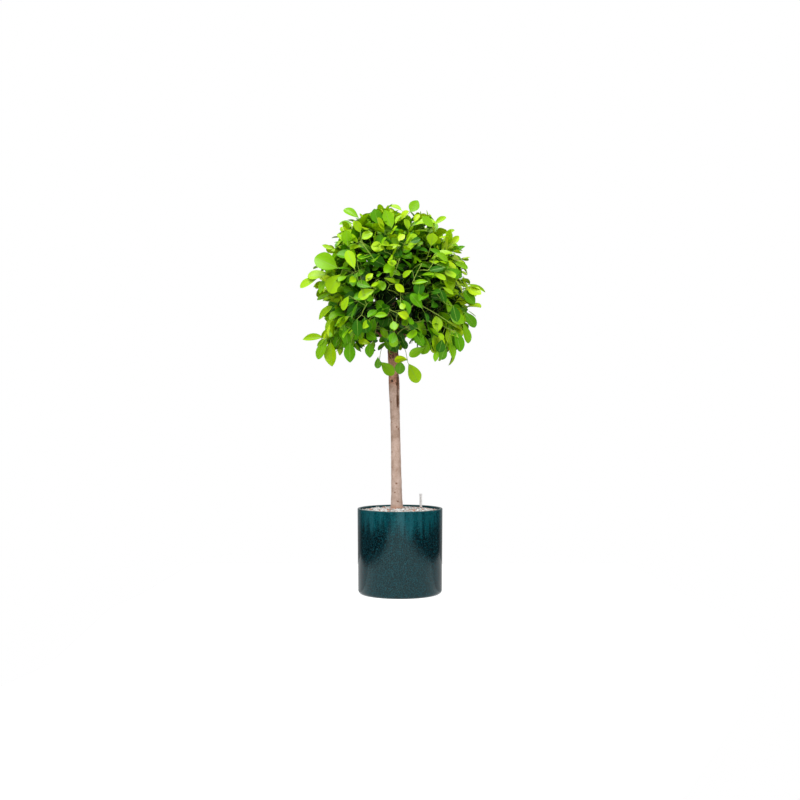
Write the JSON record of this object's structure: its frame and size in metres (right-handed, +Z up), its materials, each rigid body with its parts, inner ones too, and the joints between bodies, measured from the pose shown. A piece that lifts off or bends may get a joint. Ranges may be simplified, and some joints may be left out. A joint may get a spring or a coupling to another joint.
{
  "type": "potted standard fig tree",
  "caption": "Round-headed standard tree of leathery leaves on a bare leaning stem, planted in a glazed cylinder pot that stands on its flat underside.",
  "frame": {"origin": "centre of the pot's flat underside", "axes": "+Z up along the pot's axis, -Y towards the viewer (front), +X to the viewer's right"},
  "size_m": [0.7635, 0.6331, 1.6192],
  "materials": {
    "glaze": "glossy petrol-teal glaze with darker runs",
    "soil": "matt dark earth",
    "granules": "matt grey pumice granules",
    "gauge": "glossy pale plastic",
    "bark": "smooth matt pinkish-brown bark",
    "young_bark": "matt dark reddish-brown bark",
    "leaves": "satin leathery green leaves"
  },
  "bodies": {
    "root": {"pot": "glaze", "soil": "soil", "granules": "granules", "gauge_tube": "gauge", "gauge_cap": "gauge", "trunk": "bark", "bough_lower_1": "young_bark", "bough_lower_2": "young_bark", "bough_lower_3": "young_bark", "bough_lower_4": "young_bark", "bough_lower_5": "young_bark", "bough_lower_6": "young_bark", "bough_lower_7": "young_bark", "bough_upper_1": "young_bark", "bough_upper_2": "young_bark", "bough_upper_3": "young_bark", "bough_upper_4": "young_bark", "bough_upper_5": "young_bark", "bough_top": "young_bark", "foliage_lower_1": "leaves", "foliage_lower_2": "leaves", "foliage_lower_3": "leaves", "foliage_lower_4": "leaves", "foliage_lower_5": "leaves", "foliage_lower_6": "leaves", "foliage_lower_7": "leaves", "foliage_upper_1": "leaves", "foliage_upper_2": "leaves", "foliage_upper_3": "leaves", "foliage_upper_4": "leaves", "foliage_upper_5": "leaves", "foliage_top": "leaves", "foliage_hanging_left": "leaves", "foliage_hanging_right": "leaves"}
  },
  "joints": []
}
